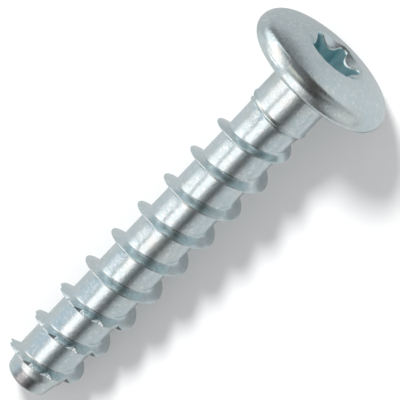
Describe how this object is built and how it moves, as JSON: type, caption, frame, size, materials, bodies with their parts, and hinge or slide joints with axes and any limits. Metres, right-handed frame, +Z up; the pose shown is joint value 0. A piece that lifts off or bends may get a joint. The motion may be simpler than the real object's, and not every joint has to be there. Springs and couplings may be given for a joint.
{
  "type": "concrete screw",
  "caption": "Concrete screw with a low domed pan head, a six-lobe drive recess, a plain shank and a coarse self-tapping thread whose last turns are notched into saw teeth.",
  "frame": {"origin": "middle of the bounding box's base, on the flat surface that the screw lies on", "axes": "+X along the screw towards its head, in the vertical plane that holds its axis, and +Z up. The axis itself leans 5.6 degrees, head up, because the head's rim is wider than the thread."},
  "size_m": [0.044, 0.0144, 0.0142],
  "materials": {
    "zinc_plated_steel": "bright zinc plating, with a faint frosty speckle and rolled lines round the core"
  },
  "bodies": {
    "root": {"screw": "zinc_plated_steel"}
  },
  "joints": []
}
